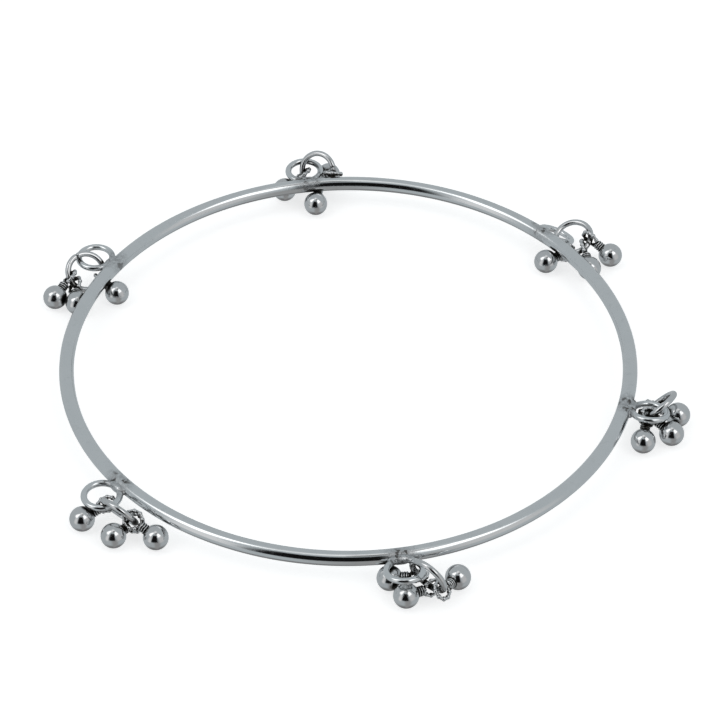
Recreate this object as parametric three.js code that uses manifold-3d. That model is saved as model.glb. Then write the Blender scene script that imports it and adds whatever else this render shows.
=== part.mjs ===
// A charm bangle: a plain round wire hoop with six charms. Each charm is a ring soldered on the outer side of
// the hoop, a jump ring through it, and three ball drops on the jump ring. The bangle lies on its side on a
// flat surface, propped up by its own drops. Millimetres and degrees, +Z up.

import * as THREE from 'three';
import { mergeVertices } from 'three/addons/utils/BufferGeometryUtils.js';
import Module from 'manifold-3d';

const wasm = await Module();
wasm.setup();

// Driving sizes. A diameter named "wire" is that of the wire a ring is bent from.
const hoop = { innerDiameter: 60.3, wire: 1.6, height: 2.9, segments: 84, sides: 10 };
const solderedRing = { outerDiameter: 4.5, wire: 0.72, bite: 0.3, segments: 18, sides: 8 };
const solder = { length: 2.2, width: 1.1, height: 1.1 };
const jumpRing = { outerDiameter: 4.8, wire: 0.68, segments: 20, sides: 6 };
const ballDrop = {
  ballDiameter: 2.7,
  reach: 3, // from the middle of the eye to the middle of the ball
  neckDiameter: 0.9,
  collarDiameter: 1.2,
  collarAt: 1.5, // from the middle of the eye
  collarWidth: 0.3,
  eyeDiameter: 2.5,
  eyeWire: 0.56,
  sides: 10,
  eyeSegments: 12,
  eyeSides: 6,
};

// One row for each charm, anticlockwise from the right. hoopAngle is its place on the hoop; sag is how far its
// soldered ring slopes down, and twist how far it is turned about the outward direction. The jump ring's middle
// lies out from the hoop's wire, along it and up from the surface; it slopes up towards the heading rise. A
// drop hangs at the place around its jump ring, counted from the ring's highest point, and points along its
// heading. Headings are counted from the outward direction.
const charms = [
  {
    hoopAngle: -15, sag: 0, twist: -15,
    ring: { out: 3.5, along: 1.6, up: 2.6, rise: -20, slope: 50 },
    drops: [{ around: 255, heading: -85 }, { around: 275, heading: -15 }, { around: 155, heading: -15 }],
  },
  {
    hoopAngle: 44, sag: 30, twist: 0,
    ring: { out: 2.9, along: -2.2, up: 2.1, rise: 5, slope: 25 },
    drops: [{ around: 195, heading: 170 }, { around: 255, heading: -125 }, { around: 295, heading: -80 }],
  },
  {
    hoopAngle: 99, sag: 0, twist: 0,
    ring: { out: 2.5, along: -1.55, up: 2.95, rise: -40, slope: 60 },
    drops: [{ around: 200, heading: 165 }, { around: 280, heading: 5 }, { around: 120, heading: 125 }],
  },
  {
    hoopAngle: 149, sag: 0, twist: 0,
    ring: { out: 2.75, along: 2, up: 2.25, rise: -35, slope: 45 },
    drops: [{ around: 95, heading: 90 }, { around: 225, heading: 160 }, { around: 125, heading: 130 }],
  },
  {
    hoopAngle: 220, sag: 0, twist: 0,
    ring: { out: 2.5, along: 2.7, up: 2.4, rise: 10, slope: 60 },
    drops: [{ around: 260, heading: -10 }, { around: 135, heading: 5 }, { around: 85, heading: 110 }],
  },
  {
    hoopAngle: 280, sag: -10, twist: 0,
    ring: { out: 3.75, along: 2.25, up: 3.2, rise: -50, slope: 75 },
    drops: [{ around: 230, heading: -105 }, { around: 175, heading: -75 }, { around: 130, heading: 135 }],
  },
];

const radians = THREE.MathUtils.degToRad;
const hoopRadius = (hoop.innerDiameter + hoop.wire) / 2;
const silver = new THREE.MeshStandardMaterial({ color: 0xb4bac0, roughness: 0.16, metalness: 1 });
const agedSilver = new THREE.MeshStandardMaterial({ color: 0x9fa3a4, roughness: 0.28, metalness: 1 });

// A closed circle of points, with a flat side at its bottom, as the section of a round wire.
function wireSection(middle, diameter, sides) {
  const points = [];
  for (let side = 0; side <= sides; side++) {
    const angle = ((side + 0.5) / sides) * 2 * Math.PI - Math.PI / 2;
    points.push(new THREE.Vector2(
      middle + (diameter / 2) * Math.cos(angle),
      (diameter / 2) * Math.sin(angle),
    ));
  }
  return points;
}

// A ring of round wire, flat in the XY plane.
function wireRing(outerDiameter, wire, segments, sides) {
  const section = wireSection((outerDiameter - wire) / 2, wire, sides);
  return new THREE.LatheGeometry(section, segments).rotateX(Math.PI / 2);
}

function toSolid(geometry) {
  const bare = geometry.clone();
  bare.deleteAttribute('normal');
  bare.deleteAttribute('uv');
  const merged = mergeVertices(bare, 1e-5);
  return new wasm.Manifold(new wasm.Mesh({
    numProp: 3,
    vertProperties: new Float32Array(merged.attributes.position.array),
    triVerts: new Uint32Array(merged.index.array),
  }));
}

function toGeometry(solid) {
  const mesh = solid.getMesh();
  const geometry = new THREE.BufferGeometry();
  geometry.setAttribute('position', new THREE.Float32BufferAttribute(mesh.vertProperties, 3));
  geometry.setIndex(new THREE.Uint32BufferAttribute(mesh.triVerts, 1));
  geometry.computeVertexNormals();
  return geometry;
}

function joined(geometries) {
  return toGeometry(geometries.map(toSolid).reduce((sum, solid) => sum.add(solid)));
}

// The frame of a charm: its origin on the hoop's wire, +X outward and +Y along the hoop.
function charmFrame(charm) {
  const frame = new THREE.Group();
  const angle = radians(charm.hoopAngle);
  frame.position.set(hoopRadius * Math.cos(angle), hoopRadius * Math.sin(angle), 0);
  frame.rotation.z = angle;
  frame.updateMatrix();
  return frame;
}

// The hoop with its soldered rings, in the hoop's own plane.
function makeHoop() {
  const wire = wireRing(hoop.innerDiameter + 2 * hoop.wire, hoop.wire, hoop.segments, hoop.sides);
  const pieces = [wire];
  for (const charm of charms) {
    const place = charmFrame(charm).matrix;
    const ring = wireRing(
      solderedRing.outerDiameter, solderedRing.wire, solderedRing.segments, solderedRing.sides);
    ring.translate((hoop.wire + solderedRing.outerDiameter) / 2 - solderedRing.bite, 0, 0);
    ring.rotateX(radians(charm.twist)).rotateY(radians(charm.sag)).applyMatrix4(place);
    const blob = new THREE.SphereGeometry(0.5, 10, 6).scale(solder.width, solder.length, solder.height);
    blob.translate(hoop.wire / 2, 0, 0).rotateY(radians(charm.sag)).applyMatrix4(place);
    pieces.push(ring, blob);
  }
  const mesh = new THREE.Mesh(joined(pieces), silver);
  mesh.name = 'bangle_hoop';
  mesh.position.z = hoop.height;
  return mesh;
}

const jumpRingGeometry = wireRing(jumpRing.outerDiameter, jumpRing.wire, jumpRing.segments, jumpRing.sides);

function makeJumpRing({ ring }) {
  const mesh = new THREE.Mesh(jumpRingGeometry, agedSilver);
  mesh.position.set(ring.out, ring.along, ring.up);
  mesh.rotation.set(0, -radians(ring.slope), radians(ring.rise), 'ZYX');
  mesh.updateMatrix();
  return mesh;
}

// A drop along +X from its eye, whose hole is along Z, to its ball.
function dropGeometry() {
  const { ballDiameter, reach, neckDiameter, collarDiameter, collarAt, collarWidth } = ballDrop;
  const neck = neckDiameter / 2;
  const collar = collarDiameter / 2;
  const start = ballDrop.eyeDiameter / 2 - ballDrop.eyeWire;
  const profile = [
    new THREE.Vector2(0, start),
    new THREE.Vector2(neck, start + 0.12),
    new THREE.Vector2(neck, collarAt - collarWidth / 2),
    new THREE.Vector2(collar, collarAt - collarWidth / 4),
    new THREE.Vector2(collar, collarAt + collarWidth / 4),
    new THREE.Vector2(neck, collarAt + collarWidth / 2),
  ];
  const first = Math.PI - Math.asin(neckDiameter / ballDiameter);
  const steps = 5;
  for (let step = 0; step <= steps; step++) {
    const angle = first * (1 - step / steps);
    const radius = step === steps ? 0 : (ballDiameter / 2) * Math.sin(angle);
    profile.push(new THREE.Vector2(radius, reach + (ballDiameter / 2) * Math.cos(angle)));
  }
  const body = new THREE.LatheGeometry(profile, ballDrop.sides).rotateZ(-Math.PI / 2);
  const eye = wireRing(ballDrop.eyeDiameter, ballDrop.eyeWire, ballDrop.eyeSegments, ballDrop.eyeSides);
  return joined([body, eye]);
}

const ballDropGeometry = dropGeometry();

// A drop with its eye around the jump ring's wire and its ball on the surface. The hole follows the wire as
// nearly as the drop's direction lets it.
function makeDrop(ringMesh, { around, heading }) {
  const angle = radians(around);
  const ringRadius = (jumpRing.outerDiameter - jumpRing.wire) / 2;
  const eye = new THREE.Vector3(ringRadius * Math.cos(angle), ringRadius * Math.sin(angle), 0);
  const tangent = new THREE.Vector3(-Math.sin(angle), Math.cos(angle), 0);
  eye.applyMatrix4(ringMesh.matrix);
  tangent.transformDirection(ringMesh.matrix);

  const drop = (eye.z - ballDrop.ballDiameter / 2) / ballDrop.reach;
  const level = Math.sqrt(1 - drop * drop);
  const turn = radians(heading);
  const forward = new THREE.Vector3(level * Math.cos(turn), level * Math.sin(turn), -drop);
  const hole = tangent.addScaledVector(forward, -tangent.dot(forward)).normalize();
  const side = new THREE.Vector3().crossVectors(hole, forward);

  const mesh = new THREE.Mesh(ballDropGeometry, agedSilver);
  mesh.position.copy(eye);
  mesh.quaternion.setFromRotationMatrix(new THREE.Matrix4().makeBasis(forward, side, hole));
  return mesh;
}

const bangle = new THREE.Group();
bangle.add(makeHoop());
charms.forEach((charm, index) => {
  const frame = charmFrame(charm);
  const ring = makeJumpRing(charm);
  ring.name = `jump_ring_${index + 1}`;
  frame.add(ring);
  charm.drops.forEach((row, place) => {
    const drop = makeDrop(ring, row);
    drop.name = `ball_drop_${index + 1}${'abc'[place]}`;
    frame.add(drop);
  });
  bangle.add(frame);
});

// The origin is below the middle of the whole bangle, on the surface it lies on.
const extent = new THREE.Box3().setFromObject(bangle, true);
const middle = extent.getCenter(new THREE.Vector3());
bangle.position.set(-middle.x, -middle.y, -extent.min.z);

export default bangle;
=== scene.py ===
import math

import bpy
import numpy as np
from mathutils import Matrix, Vector


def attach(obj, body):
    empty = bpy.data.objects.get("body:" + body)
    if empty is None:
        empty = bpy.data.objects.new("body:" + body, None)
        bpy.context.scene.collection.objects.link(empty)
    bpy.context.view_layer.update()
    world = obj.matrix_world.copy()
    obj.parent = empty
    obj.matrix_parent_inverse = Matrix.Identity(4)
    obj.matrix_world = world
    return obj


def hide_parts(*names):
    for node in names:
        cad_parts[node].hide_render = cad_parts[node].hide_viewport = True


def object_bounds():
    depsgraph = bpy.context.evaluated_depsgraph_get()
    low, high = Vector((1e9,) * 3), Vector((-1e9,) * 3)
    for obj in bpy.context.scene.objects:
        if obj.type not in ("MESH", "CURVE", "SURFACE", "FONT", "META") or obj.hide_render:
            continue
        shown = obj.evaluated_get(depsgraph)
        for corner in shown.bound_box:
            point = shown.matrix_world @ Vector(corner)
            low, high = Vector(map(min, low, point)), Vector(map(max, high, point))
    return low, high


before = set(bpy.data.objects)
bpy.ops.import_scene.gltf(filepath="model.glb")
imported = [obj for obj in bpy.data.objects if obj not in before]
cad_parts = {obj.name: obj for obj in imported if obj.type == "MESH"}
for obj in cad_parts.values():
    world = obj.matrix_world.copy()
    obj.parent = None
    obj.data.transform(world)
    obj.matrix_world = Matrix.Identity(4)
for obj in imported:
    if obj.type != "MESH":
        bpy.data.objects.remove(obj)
cadLow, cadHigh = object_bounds()
print("frame loaded")

# The pieces are made in millimetres, which small booleans need, and scaled to metres at the end.
mm = 0.001
scene = bpy.context.scene
scene.view_settings.view_transform = "Standard"


def addNode(tree, kind, inputs=None, **settings):
    node = tree.nodes.new(kind)
    for key, value in settings.items():
        setattr(node, key, value)
    setSockets(tree, node, inputs or {})
    return node


def setSockets(tree, node, inputs):
    for key, value in inputs.items():
        if isinstance(value, bpy.types.NodeSocket):
            tree.links.new(value, node.inputs[key])
        else:
            node.inputs[key].default_value = value


def calc(tree, operation, first, second=0.0, third=0.0):
    inputs = {0: first, 1: second, 2: third}
    return addNode(tree, "ShaderNodeMath", inputs, operation=operation).outputs[0]


def vectorCalc(tree, operation, first, second=(0, 0, 0), scale=1.0):
    inputs = {0: first, "Scale": scale} if operation == "SCALE" else {0: first, 1: second}
    node = addNode(tree, "ShaderNodeVectorMath", inputs, operation=operation)
    return node.outputs["Value" if operation == "DOT_PRODUCT" else "Vector"]


def combine(tree, x=0.0, y=0.0, z=0.0):
    return addNode(tree, "ShaderNodeCombineXYZ", {0: x, 1: y, 2: z}).outputs[0]


def separate(tree, vector):
    return addNode(tree, "ShaderNodeSeparateXYZ", {0: vector}).outputs


def newTree(name, sizes, takesMesh=False):
    tree = bpy.data.node_groups.new(name, "GeometryNodeTree")
    kinds = {int: "NodeSocketInt", float: "NodeSocketFloat"}
    if takesMesh:
        tree.interface.new_socket("Mesh", in_out="INPUT", socket_type="NodeSocketGeometry")
    for label, value in sizes.items():
        socket = tree.interface.new_socket(label, in_out="INPUT", socket_type=kinds[type(value)])
        socket.default_value = value
    tree.interface.new_socket("Mesh", in_out="OUTPUT", socket_type="NodeSocketGeometry")
    return tree, tree.nodes.new("NodeGroupInput").outputs


def endTree(tree, mesh, material):
    real = addNode(tree, "GeometryNodeRealizeInstances", {0: mesh}).outputs[0]
    smooth = addNode(tree, "GeometryNodeSetShadeSmooth", {0: real}).outputs[0]
    painted = addNode(tree, "GeometryNodeSetMaterial", {0: smooth, "Material": material})
    tree.links.new(painted.outputs[0], tree.nodes.new("NodeGroupOutput").inputs[0])


def setInputs(modifier, values):
    for item in modifier.node_group.interface.items_tree:
        if item.in_out == "INPUT" and item.name in values:
            modifier[item.identifier] = values[item.name]


def newMaker(name, mesh):
    maker = bpy.data.objects.new(name, mesh)
    scene.collection.objects.link(maker)
    return maker


def flatten(maker):
    graph = bpy.context.evaluated_depsgraph_get()
    mesh = bpy.data.meshes.new_from_object(maker.evaluated_get(graph), depsgraph=graph)
    maker.modifiers.clear()
    bpy.data.objects.remove(maker)
    return mesh


# Runs a tree, on a mesh or on nothing, and gives back a plain mesh.
def grow(tree, name, values=None, start=None):
    maker = newMaker(name, start or bpy.data.meshes.new(name))
    modifier = maker.modifiers.new(name, "NODES")
    modifier.node_group = tree
    setInputs(modifier, values or {})
    mesh = flatten(maker)
    mesh.name = name
    return mesh


def united(name, meshes):
    first, *others = [newMaker(name, mesh) for mesh in meshes]
    for other in others:
        union = first.modifiers.new(name, "BOOLEAN")
        union.operation, union.solver, union.object = "UNION", "MANIFOLD", other
    mesh = flatten(first)
    for other in others:
        bpy.data.objects.remove(other)
    return mesh


def pointsOf(mesh):
    flat = np.empty(len(mesh.vertices) * 3, np.float32)
    mesh.vertices.foreach_get("co", flat)
    return flat.reshape(-1, 3)


# The places of the pieces, in millimetres, are worked out from the CAD nodes' own meshes.
def nodePoints(name):
    points = pointsOf(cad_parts[name].data).astype(float) / mm
    return np.unique(points.round(4), axis=0)


def circleCentre(points):
    rows = np.c_[2 * points, np.ones(len(points))]
    return np.linalg.lstsq(rows, (points**2).sum(axis=1), rcond=None)[0][:2]


def placeOf(middle, forward, up):
    forward, up = Vector(forward).normalized(), Vector(up).normalized()
    turn = Matrix((forward, up.cross(forward), up)).transposed().to_4x4()
    return Matrix.Translation(Vector(middle)) @ turn


# The place of a ring, with its hole along Z.
def ringPlace(points):
    middle = points.mean(axis=0)
    across, along, up = np.linalg.svd(points - middle, full_matrices=False)[2]
    shift = circleCentre((points - middle) @ np.array([across, along]).T)
    middle = middle + shift[0] * across + shift[1] * along
    return placeOf(middle, across, up if up[2] > 0 else -up)


# Each piece's sizes have the names of its tree's inputs. Radius is the ring's, to the middle of its wire, and
# Wire is the wire's own radius.
hoop = {"Radius": 30.95, "Wire": 0.8, "Steps": 640, "Sides": 28, "Unevenness": 0.012, "Grain": 0.12}
hoopPoints = nodePoints("bangle_hoop")


# The CAD wire has whole strips of vertices at a few heights. The circle is fitted to the strip on the hoop's
# inner side, because nothing is soldered there.
def hoopMiddle():
    wholeStrip = 100  # vertices
    sameHeight = 0.02
    tries = 6
    heights, counts = np.unique(hoopPoints[:, 2].round(2), return_counts=True)
    strips = heights[counts > wholeStrip]
    height = (strips.min() + strips.max()) / 2
    level = hoopPoints[np.abs(hoopPoints[:, 2] - height) < sameHeight][:, :2]
    centre = np.zeros(2)
    for step in range(tries):
        distance = np.hypot(*(level - centre).T)
        centre = circleCentre(level[distance < hoop["Radius"]])
    return centre, height


hoopCentre, wireHeight = hoopMiddle()
print("hoop centre", hoopCentre.round(3), "height", round(wireHeight, 3))

solderedRing = {"Radius": 1.89, "Wire": 0.35, "Steps": 64, "Sides": 18, "Unevenness": 0.006}


# The wire of the hoop under a soldered ring, with the ring's lean (sag) and its turn about the outward line.
def solderedJoints():
    clearOfSolder = 1.4
    betweenRings = 0.3  # radians around the hoop
    tipDepth = 0.01
    wireReach = 0.299  # from the middle of the CAD ring's faceted wire to its outer side
    outer = hoopPoints[np.hypot(*(hoopPoints[:, :2] - hoopCentre).T) > hoop["Radius"] + clearOfSolder]
    angles = np.arctan2(outer[:, 1] - hoopCentre[1], outer[:, 0] - hoopCentre[0])
    order = np.argsort(angles)
    breaks = np.where(np.diff(angles[order]) > betweenRings)[0] + 1
    joints = []
    for points in np.split(outer[order], breaks):
        ring = ringPlace(points)
        angle = math.atan2(ring.translation.y - hoopCentre[1], ring.translation.x - hoopCentre[0])
        turn = Matrix.Rotation(angle, 4, "Z")
        wire = Matrix.Translation((*hoopCentre, wireHeight)) @ turn
        wire = wire @ Matrix.Translation((hoop["Radius"], 0, 0))
        local = np.array([wire.inverted() @ Vector(point) for point in points])
        away = np.linalg.norm(local, axis=1)
        tip = Vector(local[away > away.max() - tipDepth].mean(axis=0))  # the ring's far side
        sag = math.atan2(-tip.z, tip.x)
        up = Matrix.Rotation(-sag, 3, "Y") @ (turn.to_3x3().inverted() @ Vector(ring.col[2][:3]))
        joints.append({
            "place": wire, "sag": sag, "twist": math.atan2(-up.y, up.z),
            "reach": tip.length - solderedRing["Radius"] - wireReach})
    return joints


# Moves a surface in and out by about depth, in patches of which there are about scale to the millimetre.
def roughened(tree, mesh, scale, depth, seed):
    place = addNode(tree, "GeometryNodeInputPosition").outputs[0]
    noise = addNode(tree, "ShaderNodeTexNoise", {
        "Vector": place, "W": seed, "Scale": scale, "Detail": 2.0}, noise_dimensions="4D")
    swing = calc(tree, "MULTIPLY", depth, 4.0)  # the noise seldom leaves 0.25 to 0.75
    amount = calc(tree, "MULTIPLY", calc(tree, "SUBTRACT", noise.outputs[0], 0.5), swing)
    normal = addNode(tree, "GeometryNodeInputNormal").outputs[0]
    offset = vectorCalc(tree, "SCALE", normal, scale=amount)
    return addNode(tree, "GeometryNodeSetPosition", {"Geometry": mesh, "Offset": offset}).outputs[0]


# Round wire bent to a ring, with a cut and ends a little out of line where Cut isn't nothing.
def wireRingTree(material):
    sizes = {
        "Radius": 2.0, "Wire": 0.34, "Steps": 64, "Sides": 18, "Cut": 0.0, "Shift": 0.0, "End taper": 0.12,
        "Unevenness": 0.01, "Grain": 0.8, "Seed": 1.0}
    tree, given = newTree("wireRing", sizes)
    whole = addNode(tree, "GeometryNodeCurvePrimitiveCircle", {
        "Resolution": given["Steps"], "Radius": given["Radius"]})
    gap = calc(tree, "DIVIDE", given["Cut"], given["Radius"])
    arc = addNode(tree, "GeometryNodeCurveArc", {
        "Resolution": given["Steps"], "Radius": given["Radius"],
        "Start Angle": calc(tree, "DIVIDE", gap, 2.0), "Sweep Angle": calc(tree, "SUBTRACT", math.tau, gap)})
    factor = addNode(tree, "GeometryNodeSplineParameter").outputs["Factor"]
    rise = calc(tree, "MULTIPLY", calc(tree, "SUBTRACT", factor, 0.5), given["Shift"])
    sprung = addNode(tree, "GeometryNodeSetPosition", {
        "Geometry": arc.outputs[0], "Offset": combine(tree, z=rise)})
    isCut = calc(tree, "GREATER_THAN", given["Cut"], 0.0)
    path = addNode(tree, "GeometryNodeSwitch", {
        "Switch": isCut, "False": whole.outputs[0], "True": sprung.outputs[0]}, input_type="GEOMETRY")

    endShare = 0.001  # of the wire's length, so only its two last points
    fromEnd = calc(tree, "MINIMUM", factor, calc(tree, "SUBTRACT", 1.0, factor))
    atEnd = calc(tree, "MULTIPLY", calc(tree, "LESS_THAN", fromEnd, endShare), isCut)
    thickness = calc(tree, "SUBTRACT", 1.0, calc(tree, "MULTIPLY", atEnd, given["End taper"]))
    profile = addNode(tree, "GeometryNodeCurvePrimitiveCircle", {
        "Resolution": given["Sides"], "Radius": given["Wire"]})
    tube = addNode(tree, "GeometryNodeCurveToMesh", {
        "Curve": path.outputs[0], "Profile Curve": profile.outputs[0], "Scale": thickness,
        "Fill Caps": True})
    uneven = roughened(tree, tube.outputs[0], given["Grain"], given["Unevenness"], given["Seed"])
    endTree(tree, uneven, material)
    return tree


# Reach is from the eye's middle to the ball's. The neck ends inside the ball, at Neck sink times its radius
# from its middle.
ballDrop = {
    "Ball radius": 1.35, "Reach": 3.0, "Neck": 0.43, "Neck length": 0.95, "Neck sink": 0.85,
    "Ribs": 3, "Rib": 0.14, "Rib spacing": 0.26, "Rib start": 0.09, "Rib roundness": 0.6,
    "Eye radius": 0.95, "Eye wire": 0.17, "Grains": 9, "Grain radius": 0.27, "Smallest grain": 0.9}


# A drop points from its eye to its ball, which is the end where most of the vertices are on one sphere.
def dropPlace(points):
    onSphere = 0.03
    eyeDepth = 0.485  # from the eye's middle towards the ball, as far as there is only the eye
    middle = points.mean(axis=0)
    axis = np.linalg.svd(points - middle, full_matrices=False)[2][0]
    found = []
    for forward in (axis, -axis):
        ball = middle + forward * (((points - middle) @ forward).max() - ballDrop["Ball radius"])
        isOnBall = np.abs(np.linalg.norm(points - ball, axis=1) - ballDrop["Ball radius"]) < onSphere
        found.append((isOnBall.sum(), tuple(forward), tuple(ball)))
    forward, ball = (np.array(row) for row in max(found)[1:])
    eye = ball - ballDrop["Reach"] * forward
    ringPoints = points[(points - eye) @ forward < eyeDepth] - eye
    ringPoints -= np.outer(ringPoints @ forward, forward)
    return placeOf(eye, forward, np.linalg.svd(ringPoints, full_matrices=False)[2][1])


# A drop along +X from its eye, a ring of grains with its hole along Z, over a ribbed neck, to its ball.
def ballDropTree(material):
    tree, given = newTree("ballDrop", {**ballDrop, "Seed": 1})
    ball = addNode(tree, "GeometryNodeMeshUVSphere", {
        "Segments": 44, "Rings": 28, "Radius": given["Ball radius"]})
    ball = addNode(tree, "GeometryNodeTransform", {
        "Geometry": ball.outputs[0], "Rotation": (0, math.pi / 2, 0),
        "Translation": combine(tree, given["Reach"])})

    sink = calc(tree, "MULTIPLY", given["Ball radius"], given["Neck sink"])
    neckEnd = calc(tree, "SUBTRACT", given["Reach"], sink)
    neckStart = calc(tree, "SUBTRACT", neckEnd, given["Neck length"])
    line = addNode(tree, "GeometryNodeCurvePrimitiveLine", {
        "Start": combine(tree, neckStart), "End": combine(tree, neckEnd)})
    line = addNode(tree, "GeometryNodeResampleCurve", {"Curve": line.outputs[0], "Count": 40})
    along = separate(tree, addNode(tree, "GeometryNodeInputPosition").outputs[0])[0]
    fromRibs = calc(tree, "SUBTRACT", calc(tree, "SUBTRACT", neckEnd, given["Rib start"]), along)
    ribNumber = calc(tree, "DIVIDE", fromRibs, given["Rib spacing"])
    wave = calc(tree, "SINE", calc(tree, "MULTIPLY", ribNumber, math.pi))
    wave = calc(tree, "POWER", calc(tree, "ABSOLUTE", wave), given["Rib roundness"])
    ribsLength = calc(tree, "MULTIPLY", given["Rib spacing"], given["Ribs"])
    ribbed = calc(tree, "MULTIPLY", calc(tree, "GREATER_THAN", fromRibs, 0.0),
                  calc(tree, "LESS_THAN", fromRibs, ribsLength))
    radius = calc(tree, "MULTIPLY_ADD", calc(tree, "MULTIPLY", wave, ribbed), given["Rib"], given["Neck"])
    profile = addNode(tree, "GeometryNodeCurvePrimitiveCircle", {"Resolution": 24, "Radius": 1.0})
    neck = addNode(tree, "GeometryNodeCurveToMesh", {
        "Curve": line.outputs[0], "Profile Curve": profile.outputs[0], "Scale": radius, "Fill Caps": True})

    eye = addNode(tree, "GeometryNodeCurvePrimitiveCircle", {"Resolution": 40, "Radius": given["Eye radius"]})
    eyeProfile = addNode(tree, "GeometryNodeCurvePrimitiveCircle", {
        "Resolution": 12, "Radius": given["Eye wire"]})
    eyeRing = addNode(tree, "GeometryNodeCurveToMesh", {
        "Curve": eye.outputs[0], "Profile Curve": eyeProfile.outputs[0]})
    spots = addNode(tree, "GeometryNodeCurvePrimitiveCircle", {
        "Resolution": given["Grains"], "Radius": given["Eye radius"]})
    spots = addNode(tree, "GeometryNodeCurveToPoints", {"Curve": spots.outputs[0], "Count": given["Grains"]})
    grain = addNode(tree, "GeometryNodeMeshUVSphere", {
        "Segments": 14, "Rings": 9, "Radius": given["Grain radius"]})
    size = addNode(tree, "FunctionNodeRandomValue", {
        "Min": given["Smallest grain"], "Max": 1.0, "Seed": given["Seed"]})
    turn = addNode(tree, "FunctionNodeRandomValue", {
        "Min": (0, 0, 0), "Max": (1, 1, 1), "Seed": given["Seed"]}, data_type="FLOAT_VECTOR")
    grains = addNode(tree, "GeometryNodeInstanceOnPoints", {
        "Points": spots.outputs[0], "Instance": grain.outputs[0], "Scale": size.outputs[1],
        "Rotation": turn.outputs[0]})
    grains = addNode(tree, "GeometryNodeRealizeInstances", {0: grains.outputs[0]})

    joined = tree.nodes.new("GeometryNodeMeshBoolean")
    joined.operation, joined.solver = "UNION", "MANIFOLD"
    for part in (ball, neck, eyeRing, grains):
        tree.links.new(part.outputs[0], joined.inputs["Mesh 2"])
    endTree(tree, joined.outputs[0], material)
    return tree


# Ring arc is half of the angle, in radians, over which the solder climbs the ring.
solder = {"Length": 2.8, "Width": 1.05, "Height": 1.1, "Pool offset": 0.78, "Ring arc": 0.8}
solderFinish = {
    "hoopInset": 0.05, "ringInset": 0.08, "voxel": 0.06, "flow": 6, "grain": 3.0, "depth": 0.012,
    "fadesFrom": 1.2, "fadesTo": 2.2}


# Solder between the hoop and a ring: slightly thinner stretches of both wires and a pool, which are melted
# together into one skin.
def solderTree(material):
    wires = {
        "Hoop radius": hoop["Radius"], "Hoop wire": hoop["Wire"] - solderFinish["hoopInset"],
        "Ring radius": solderedRing["Radius"], "Ring wire": solderedRing["Wire"] - solderFinish["ringInset"]}
    tree, given = newTree("solder", {**wires, **solder, "Reach": 2.75, "Sag": 0.0, "Twist": 0.0})

    def bar(radius, wire, half):
        arc = addNode(tree, "GeometryNodeCurveArc", {
            "Resolution": 24, "Radius": radius, "Start Angle": calc(tree, "MULTIPLY", half, -1.0),
            "Sweep Angle": calc(tree, "MULTIPLY", half, 2.0)})
        profile = addNode(tree, "GeometryNodeCurvePrimitiveCircle", {"Resolution": 24, "Radius": wire})
        return addNode(tree, "GeometryNodeCurveToMesh", {
            "Curve": arc.outputs[0], "Profile Curve": profile.outputs[0], "Fill Caps": True}).outputs[0]

    def moved(mesh, place=(0, 0, 0), turn=(0, 0, 0), scale=(1, 1, 1)):
        return addNode(tree, "GeometryNodeTransform", {
            "Geometry": mesh, "Translation": place, "Rotation": turn, "Scale": scale}).outputs[0]

    def together(meshes):
        join = addNode(tree, "GeometryNodeJoinGeometry")
        for mesh in meshes:
            tree.links.new(mesh, join.inputs[0])
        return join.outputs[0]

    barRatio = 1.6  # makes the hoop's bar a quarter longer than the pool
    half = calc(tree, "DIVIDE", given["Length"], calc(tree, "MULTIPLY", given["Hoop radius"], barRatio))
    hoopBar = moved(bar(given["Hoop radius"], given["Hoop wire"], half),
                    combine(tree, calc(tree, "MULTIPLY", given["Hoop radius"], -1.0)))
    ringBar = moved(bar(given["Ring radius"], given["Ring wire"], given["Ring arc"]), scale=(-1, 1, 1))
    ringBar = moved(ringBar, combine(tree, given["Reach"]))
    ringBar = moved(ringBar, turn=combine(tree, given["Twist"]))
    pool = addNode(tree, "GeometryNodeMeshUVSphere", {"Segments": 24, "Rings": 16, "Radius": 0.5})
    poolSize = combine(tree, given["Width"], given["Length"], given["Height"])
    pool = moved(pool.outputs[0], combine(tree, given["Pool offset"]), scale=poolSize)
    leaning = moved(together((ringBar, pool)), turn=combine(tree, y=given["Sag"]))
    endTree(tree, together((hoopBar, leaning)), material)
    return tree


def solderSkin(tree, finish, joint, seed):
    maker = newMaker("solder", bpy.data.meshes.new("solder"))
    growing = maker.modifiers.new("solder", "NODES")
    growing.node_group = tree
    setInputs(growing, {"Reach": joint["reach"], "Sag": joint["sag"], "Twist": joint["twist"]})
    melted = maker.modifiers.new("melted", "REMESH")
    melted.mode, melted.voxel_size = "VOXEL", solderFinish["voxel"]
    flowed = maker.modifiers.new("flowed", "SMOOTH")
    flowed.factor, flowed.iterations = 0.5, solderFinish["flow"]
    skin = maker.modifiers.new("skin", "NODES")
    skin.node_group = finish
    setInputs(skin, {"Seed": float(seed)})
    mesh = flatten(maker)
    mesh.transform(joint["place"])
    return mesh


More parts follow.
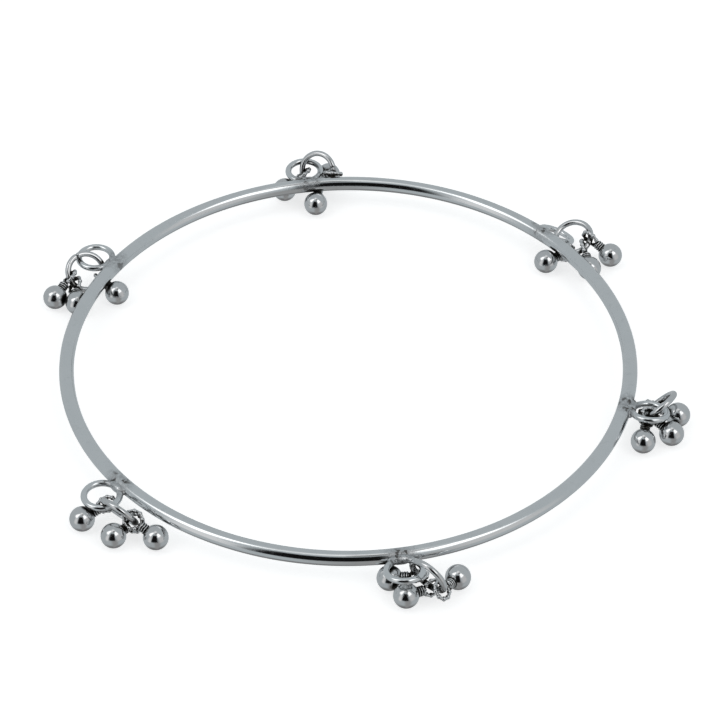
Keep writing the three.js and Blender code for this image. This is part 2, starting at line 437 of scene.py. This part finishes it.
# How far each point lies in a hollow: the share of rays, even over the half sphere, that meet metal nearby.
def recessTree():
    tree, given = newTree("recess", {"Reach": 1.1 * mm, "Rays": 28, "Lift": 0.02 * mm}, takesMesh=True)
    place = addNode(tree, "GeometryNodeInputPosition").outputs[0]
    normal = addNode(tree, "GeometryNodeInputNormal").outputs[0]
    start = vectorCalc(tree, "ADD", place, vectorCalc(tree, "SCALE", normal, scale=given["Lift"]))
    first = addNode(tree, "GeometryNodeStoreNamedAttribute", {
        "Geometry": given["Mesh"], "Name": "recess", "Value": 0.0})
    begin = tree.nodes.new("GeometryNodeRepeatInput")
    end = tree.nodes.new("GeometryNodeRepeatOutput")
    begin.pair_with_output(end)
    tree.links.new(given["Rays"], begin.inputs["Iterations"])
    tree.links.new(first.outputs[0], begin.inputs["Geometry"])

    goldenAngle = 2.39996  # spreads the rays evenly
    number = calc(tree, "ADD", begin.outputs["Iteration"], 0.5)
    passed = calc(tree, "DIVIDE", calc(tree, "MULTIPLY", number, 2.0), given["Rays"])
    height = calc(tree, "SUBTRACT", 1.0, passed)
    width = calc(tree, "SQRT", calc(tree, "SUBTRACT", 1.0, calc(tree, "MULTIPLY", height, height)))
    turn = calc(tree, "MULTIPLY", number, goldenAngle)
    ray = combine(tree, calc(tree, "MULTIPLY", width, calc(tree, "COSINE", turn)),
                  calc(tree, "MULTIPLY", width, calc(tree, "SINE", turn)), height)
    facing = vectorCalc(tree, "DOT_PRODUCT", ray, normal)
    ray = vectorCalc(tree, "SCALE", ray, scale=calc(tree, "SIGN", facing))
    hit = addNode(tree, "GeometryNodeRaycast", {
        "Target Geometry": given["Mesh"], "Source Position": start, "Ray Direction": ray,
        "Ray Length": given["Reach"]})
    far = calc(tree, "DIVIDE", hit.outputs["Hit Distance"], given["Reach"])
    near = calc(tree, "MULTIPLY", calc(tree, "SUBTRACT", 1.0, far), hit.outputs["Is Hit"])
    weight = calc(tree, "MULTIPLY", calc(tree, "ABSOLUTE", facing), near)
    share = calc(tree, "DIVIDE", calc(tree, "MULTIPLY", weight, 2.0), given["Rays"])
    soFar = addNode(tree, "GeometryNodeInputNamedAttribute", {"Name": "recess"}).outputs["Attribute"]
    stored = addNode(tree, "GeometryNodeStoreNamedAttribute", {
        "Geometry": begin.outputs["Geometry"], "Name": "recess", "Value": calc(tree, "ADD", soFar, share)})
    tree.links.new(stored.outputs[0], end.inputs["Geometry"])
    tree.links.new(end.outputs["Geometry"], tree.nodes.new("NodeGroupOutput").inputs[0])
    return tree


def newGroup(name, inputs, outputs):
    group = bpy.data.node_groups.new(name, "ShaderNodeTree")
    kinds = {float: "NodeSocketFloat", tuple: "NodeSocketVector"}
    for label, value in inputs.items():
        socket = group.interface.new_socket(label, in_out="INPUT", socket_type=kinds[type(value)])
        socket.default_value = value
    for label in outputs:
        group.interface.new_socket(label, in_out="OUTPUT", socket_type="NodeSocketFloat")
    return group, group.nodes.new("NodeGroupInput").outputs, group.nodes.new("NodeGroupOutput").inputs


def ramp(tree, value, low, high):
    inputs = {0: value, 1: low, 2: high}
    return addNode(tree, "ShaderNodeMapRange", inputs, interpolation_type="SMOOTHSTEP").outputs[0]


def noiseOf(tree, vector, scale, detail=3.0, roughness=0.5):
    inputs = {"Vector": vector, "Scale": scale, "Detail": detail, "Roughness": roughness}
    return addNode(tree, "ShaderNodeTexNoise", inputs).outputs[0]


def mixed(tree, factor, first, second):
    inputs = {"Factor": factor, 6: first, 7: second}  # 6 and 7 are the two colours
    return addNode(tree, "ShaderNodeMix", inputs, data_type="RGBA").outputs[2]


# Scales are in lumps to the millimetre, and pairs are where a mask begins and where it is full.
handlingMarks = {
    "bendScale": 0.7, "bend": 1.2, "lineStretch": (0.25, 2.2, 2.2), "patchScale": 1.3, "patches": (0.45, 0.7),
    "lineTurns": ((0.3, 0.5, 0.2), (1.4, 0.1, 1.1), (0.7, 1.9, 2.3)), "cloudScale": 0.45, "rippleScale": 2.2}


# Fine lines in several directions, broken up so that they come in patches, with the cloudiness of handled
# metal.
def handlingGroup():
    inputs = {"Vector": (0.0, 0.0, 0.0), "Line scale": 1.0, "Line width": 0.02}
    group, given, out = newGroup("handling", inputs, ["Scratches", "Clouds", "Ripple"])
    marks = handlingMarks
    place = vectorCalc(group, "SCALE", given["Vector"], scale=1 / mm)
    bend = addNode(group, "ShaderNodeTexNoise", {
        "Vector": place, "Scale": marks["bendScale"], "Detail": 1.0}).outputs["Color"]
    bent = vectorCalc(group, "ADD", place, vectorCalc(group, "SCALE", bend, scale=marks["bend"]))
    lines = None
    for turn in marks["lineTurns"]:
        aligned = addNode(group, "ShaderNodeMapping", {
            "Vector": bent, "Rotation": turn, "Scale": marks["lineStretch"]})
        cells = addNode(group, "ShaderNodeTexVoronoi", {
            "Vector": aligned.outputs[0], "Scale": given["Line scale"]}, feature="DISTANCE_TO_EDGE")
        line = calc(group, "SUBTRACT", 1.0, ramp(group, cells.outputs["Distance"], 0.0, given["Line width"]))
        lines = line if lines is None else calc(group, "MAXIMUM", lines, line)
    patches = ramp(group, noiseOf(group, place, marks["patchScale"]), *marks["patches"])
    group.links.new(calc(group, "MULTIPLY", lines, patches), out["Scratches"])
    group.links.new(noiseOf(group, place, marks["cloudScale"], detail=5.0, roughness=0.6), out["Clouds"])
    group.links.new(noiseOf(group, place, marks["rippleScale"], detail=2.0), out["Ripple"])
    return group


tarnishMarks = {"broadScale": 0.8, "fineScale": 6.0, "broad": 0.35, "fine": 0.2, "spread": (0.05, 0.3)}


# Where old silver has darkened: in hollows, and in faint patches elsewhere.
def tarnishGroup():
    inputs = {"Vector": (0.0, 0.0, 0.0), "Recess": 0.0, "Start": 0.2, "Full": 0.5, "Patches": 0.2}
    group, given, out = newGroup("tarnish", inputs, ["Mask"])
    marks = tarnishMarks
    place = vectorCalc(group, "SCALE", given["Vector"], scale=1 / mm)
    broad = noiseOf(group, place, marks["broadScale"], detail=4.0, roughness=0.6)
    broad = calc(group, "SUBTRACT", broad, 0.5)
    fine = noiseOf(group, place, marks["fineScale"], detail=3.0, roughness=0.6)
    fine = calc(group, "SUBTRACT", fine, 0.5)
    blend = calc(group, "ADD", calc(group, "MULTIPLY", broad, marks["broad"]),
                 calc(group, "MULTIPLY", fine, marks["fine"]))
    inHollows = ramp(group, calc(group, "ADD", given["Recess"], blend), given["Start"], given["Full"])
    spread = calc(group, "MULTIPLY", ramp(group, broad, *marks["spread"]), given["Patches"])
    group.links.new(calc(group, "MAXIMUM", inHollows, spread), out["Mask"])
    return group


handling = handlingGroup()
tarnish = tarnishGroup()
solderMarks = {
    "pitScale": 3.2, "matt": (0.3, 0.6), "mattRoughness": 0.3, "fleckScale": 1.3, "flecks": (0.57, 0.63)}


# Polished wire that has been handled. Solder lies on it in duller, pitted patches with dark flecks.
def silverMaterial(name, finish):
    material = bpy.data.materials.new(name)
    material.use_nodes = True
    tree = material.node_tree
    shader = tree.nodes["Principled BSDF"]
    shader.inputs["Metallic"].default_value = 1.0
    place = addNode(tree, "ShaderNodeTexCoord").outputs["Object"]
    worn = addNode(tree, "ShaderNodeGroup", node_tree=handling)
    tree.links.new(place, worn.inputs["Vector"])
    worn.inputs["Line scale"].default_value = finish["lineScale"]
    dark = addNode(tree, "ShaderNodeGroup", node_tree=tarnish)
    recess = addNode(tree, "ShaderNodeAttribute", attribute_name="recess").outputs["Fac"]
    tree.links.new(place, dark.inputs["Vector"])
    tree.links.new(recess, dark.inputs["Recess"])
    for label, key in (("Start", "tarnishStart"), ("Full", "tarnishFull"), ("Patches", "patches")):
        dark.inputs[label].default_value = finish[key]
    clouds, scratches, ripple = (worn.outputs[key] for key in ("Clouds", "Scratches", "Ripple"))

    marks = solderMarks
    joint = addNode(tree, "ShaderNodeAttribute", attribute_name="solder").outputs["Fac"]
    fine = vectorCalc(tree, "SCALE", place, scale=1 / mm)
    pits = noiseOf(tree, fine, marks["pitScale"], detail=5.0, roughness=0.65)
    flecks = ramp(tree, noiseOf(tree, fine, marks["fleckScale"], detail=3.0, roughness=0.6), *marks["flecks"])
    mask = calc(tree, "MAXIMUM", dark.outputs["Mask"], calc(tree, "MULTIPLY", joint, flecks))
    matt = calc(tree, "MULTIPLY", joint, ramp(tree, pits, *marks["matt"]))

    tone = mixed(tree, clouds, finish["bright"], finish["cloudy"])
    tone = mixed(tree, matt, tone, finish["solder"])
    tone = mixed(tree, mask, tone, finish["tarnish"])
    tree.links.new(tone, shader.inputs["Base Color"])

    rough = calc(tree, "MULTIPLY_ADD", clouds, finish["cloudRoughness"], finish["roughness"])
    rough = calc(tree, "MULTIPLY_ADD", scratches, finish["scratchRoughness"], rough)
    rough = calc(tree, "MULTIPLY_ADD", mask, finish["tarnishRoughness"], rough)
    rough = calc(tree, "MULTIPLY_ADD", matt, marks["mattRoughness"], rough)
    tree.links.new(rough, shader.inputs["Roughness"])

    height = calc(tree, "MULTIPLY", ripple, finish["ripple"])
    height = calc(tree, "SUBTRACT", height, calc(tree, "MULTIPLY", scratches, finish["scratchDepth"]))
    height = calc(tree, "MULTIPLY_ADD", calc(tree, "MULTIPLY", joint, pits), finish["pitDepth"], height)
    bump = addNode(tree, "ShaderNodeBump", {"Height": height, "Strength": 1.0, "Distance": mm})
    tree.links.new(bump.outputs[0], shader.inputs["Normal"])
    return material


# Depths are in millimetres.
polished = silverMaterial("polishedSilver", {
    "bright": (0.87, 0.89, 0.9, 1), "cloudy": (0.79, 0.815, 0.83, 1), "solder": (0.5, 0.51, 0.52, 1),
    "tarnish": (0.16, 0.155, 0.15, 1), "roughness": 0.07, "cloudRoughness": 0.06, "scratchRoughness": 0.12,
    "tarnishRoughness": 0.25, "ripple": 0.002, "scratchDepth": 0.001, "pitDepth": 0.012, "lineScale": 0.8,
    "tarnishStart": 0.25, "tarnishFull": 0.6, "patches": 0.1})
aged = silverMaterial("agedSilver", {
    "bright": (0.8, 0.81, 0.82, 1), "cloudy": (0.72, 0.725, 0.73, 1), "solder": (0.6, 0.61, 0.62, 1),
    "tarnish": (0.035, 0.032, 0.027, 1), "roughness": 0.08, "cloudRoughness": 0.06, "scratchRoughness": 0.12,
    "tarnishRoughness": 0.25, "ripple": 0.001, "scratchDepth": 0.001, "pitDepth": 0.0, "lineScale": 1.6,
    "tarnishStart": 0.04, "tarnishFull": 0.21, "patches": 0.12})
print("materials made")

joints = solderedJoints()
wires = wireRingTree(polished)
ringMeshes = []
for number, joint in enumerate(joints):
    ring = grow(wires, "solderedRing", {**solderedRing, "Seed": 10.0 + number})
    lean = Matrix.Rotation(joint["sag"], 4, "Y") @ Matrix.Rotation(joint["twist"], 4, "X")
    ring.transform(joint["place"] @ lean @ Matrix.Translation((joint["reach"], 0, 0)))
    ringMeshes.append(ring)
solders = solderTree(polished)
skinSizes = {"Grain": solderFinish["grain"], "Depth": solderFinish["depth"], "Seed": 1.0}
skinTree, given = newTree("solderSkin", skinSizes, takesMesh=True)
endTree(skinTree, roughened(skinTree, given["Mesh"], given["Grain"], given["Depth"], given["Seed"]), polished)
skins = [solderSkin(solders, skinTree, joint, number) for number, joint in enumerate(joints)]
wire = grow(wires, "hoop", {**hoop, "Seed": 3.0})
wire.transform(Matrix.Translation((*hoopCentre, wireHeight)))
hoopMesh = united("bangleHoop", [wire, *ringMeshes, *skins])
meshes = {"bangle_hoop": hoopMesh}
print("hoop and soldered rings joined,", len(hoopMesh.polygons), "faces")

# Cut turn is from one charm's cut to the next one's, in radians.
jumpRing = {
    "Radius": 2.06, "Wire": 0.33, "Steps": 84, "Sides": 18, "Cut": 0.07, "Shift": 0.03, "Cut turn": 2.1,
    "Unevenness": 0.006}
wires = wireRingTree(aged)
drops = ballDropTree(aged)
for charm in range(1, len(joints) + 1):
    node = f"jump_ring_{charm}"
    ring = grow(wires, node, {**jumpRing, "Seed": 20.0 + charm})
    ring.transform(ringPlace(nodePoints(node)) @ Matrix.Rotation(charm * jumpRing["Cut turn"], 4, "Z"))
    meshes[node] = ring
    for number, letter in enumerate("abc"):
        node = f"ball_drop_{charm}{letter}"
        drop = grow(drops, node, {"Seed": 3 * charm + number})
        drop.transform(dropPlace(nodePoints(node)))
        meshes[node] = drop
print("jump rings and drops made")

for mesh in meshes.values():
    mesh.transform(Matrix.Scale(mm, 4))


def storeOn(mesh, name, values):
    attribute = mesh.attributes.new(name, "FLOAT", "POINT")
    attribute.data.foreach_set("value", np.asarray(values, np.float32))


# One mesh of everything, because a hollow between two pieces darkens too.
def storeRecess():
    joined = bpy.data.meshes.new("everything")
    starts = np.cumsum([0] + [len(mesh.vertices) for mesh in meshes.values()])
    faces = []
    for start, mesh in zip(starts, meshes.values()):
        mesh.calc_loop_triangles()
        corners = np.empty(len(mesh.loop_triangles) * 3, np.int32)
        mesh.loop_triangles.foreach_get("vertices", corners)
        faces.append(corners.reshape(-1, 3) + start)
    points = [pointsOf(mesh) for mesh in meshes.values()]
    joined.from_pydata(np.concatenate(points), [], np.concatenate(faces))
    measured = grow(recessTree(), "measured", start=joined)
    values = np.empty(starts[-1], np.float32)
    measured.attributes["recess"].data.foreach_get("value", values)
    for mesh, first, last in zip(meshes.values(), starts, starts[1:]):
        storeOn(mesh, "recess", values[first:last])
    print("recess from", round(float(values.min()), 3), "to", round(float(values.max()), 3))


# Full at a joint's middle, fading out around it.
def storeSolder():
    start, end = solderFinish["fadesFrom"], solderFinish["fadesTo"]
    nearJoint = np.zeros(len(hoopMesh.vertices))
    for joint in joints:
        middle = np.array(joint["place"] @ Vector((hoop["Wire"], 0, 0))) * mm
        away = np.linalg.norm(pointsOf(hoopMesh) - middle, axis=1) / mm
        nearJoint = np.maximum(nearJoint, np.clip((end - away) / (end - start), 0, 1))
    storeOn(hoopMesh, "solder", nearJoint)


storeRecess()
storeSolder()

sharpFrom = math.radians(38)
for node, mesh in meshes.items():
    mesh.set_sharp_from_angle(angle=sharpFrom)
    words = node.split("_")
    piece = bpy.data.objects.new(words[0] + "".join(word.capitalize() for word in words[1:]), mesh)
    scene.collection.objects.link(piece)
    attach(piece, "root")
    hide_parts(node)
print("pieces placed")

floor = {"size": 6.0, "paint": 0.8, "glow": 0.65}


# The metal mirrors the studio's own lower half instead of the floor.
def makeFloor():
    half = floor["size"] / 2
    corners = [(-half, -half, 0), (half, -half, 0), (half, half, 0), (-half, half, 0)]
    mesh = bpy.data.meshes.new("floor")
    mesh.from_pydata(corners, [], [(0, 1, 2, 3)])
    ground = bpy.data.objects.new("floor", mesh)
    scene.collection.objects.link(ground)
    material = bpy.data.materials.new("paleFloor")
    material.use_nodes = True
    tree = material.node_tree
    tree.nodes.clear()
    paint = addNode(tree, "ShaderNodeBsdfDiffuse", {"Color": (floor["paint"],) * 3 + (1,)})
    glow = addNode(tree, "ShaderNodeEmission", {"Color": (1, 1, 1, 1), "Strength": floor["glow"]})
    both = addNode(tree, "ShaderNodeAddShader", {0: paint.outputs[0], 1: glow.outputs[0]})
    tree.links.new(both.outputs[0], addNode(tree, "ShaderNodeOutputMaterial").inputs[0])
    mesh.materials.append(material)
    ground.visible_glossy = False


# The studio as the metal mirrors it. Each light or dark thing reaches so far around, from the front to the
# right, and so far up from the level, in degrees, with edges that fade over soft. A later one covers an
# earlier one.
allRound = (-200, 200)
studio = {
    "walls": (0.425, 0.455, 0.47),
    "things": {
        "table": {"around": allRound, "up": (-100, -60), "soft": 15, "light": 0.2},
        "tableEdge": {"around": (-10, 40), "up": (-85, 5), "soft": 15, "light": 0.3},
        "ceiling": {"around": allRound, "up": (80, 120), "soft": 8, "light": 0.9},
        "leftPanel": {"around": (-90, -55), "up": (35, 75), "soft": 8, "light": 1.5},
        "leftStand": {"around": (-65, -40), "up": (-15, 35), "soft": 8, "light": 0.7},
        "rightPanel": {"around": (30, 70), "up": (35, 75), "soft": 8, "light": 1.5},
        "rightStand": {"around": (35, 75), "up": (-15, 35), "soft": 10, "light": 0.55},
        "ceilingBeam": {"around": (0, 65), "up": (68, 85), "soft": 5, "light": 0.2},
        "blackCard": {"around": (-35, 20), "up": (-5, 60), "soft": 6, "light": 0.005},
    },
}


# The camera itself sees plain white behind the floor's edge.
def makeStudio():
    world = bpy.data.worlds.new("studio")
    scene.world = world
    world.use_nodes = True
    tree = world.node_tree
    tree.nodes.clear()
    way = addNode(tree, "ShaderNodeTexCoord").outputs["Generated"]
    x, y, z = separate(tree, way)
    around = calc(tree, "DEGREES", calc(tree, "ARCTAN2", x, calc(tree, "MULTIPLY", y, -1.0)))
    up = calc(tree, "DEGREES", calc(tree, "ARCSINE", z))

    def between(value, ends, edge):
        rises = ramp(tree, value, ends[0] - edge, ends[0] + edge)
        falls = ramp(tree, value, ends[1] - edge, ends[1] + edge)
        return calc(tree, "SUBTRACT", rises, falls)

    light = (*studio["walls"], 1)
    for thing in studio["things"].values():
        mask = calc(tree, "MULTIPLY", between(around, thing["around"], thing["soft"]),
                    between(up, thing["up"], thing["soft"]))
        light = mixed(tree, mask, light, (thing["light"],) * 3 + (1,))
    seen = addNode(tree, "ShaderNodeLightPath").outputs["Is Camera Ray"]
    shown = mixed(tree, seen, light, (1, 1, 1, 1))
    background = addNode(tree, "ShaderNodeBackground", {"Color": shown, "Strength": 1.0})
    tree.links.new(background.outputs[0], addNode(tree, "ShaderNodeOutputWorld").inputs[0])


# The camera looks along +Y, down at the middle of the bangle.
view = {"elevation": 41.6, "distance": 0.35, "lens": 159.0, "sensor": 36.0, "near": 0.01, "far": 20.0}


def makeCamera():
    low, high = (np.array(corner) for corner in (cadLow, cadHigh))
    middle = Vector((low + high) / 2)
    tilt = math.radians(view["elevation"])
    data = bpy.data.cameras.new("camera")
    data.lens = view["lens"]
    data.sensor_width = view["sensor"]
    data.clip_start, data.clip_end = view["near"], view["far"]
    camera = bpy.data.objects.new("camera", data)
    scene.collection.objects.link(camera)
    camera.location = middle + view["distance"] * Vector((0, -math.cos(tilt), math.sin(tilt)))
    camera.rotation_euler = (math.pi / 2 - tilt, 0, 0)
    scene.camera = camera


makeFloor()
makeStudio()
makeCamera()
print("floor, studio and camera made")
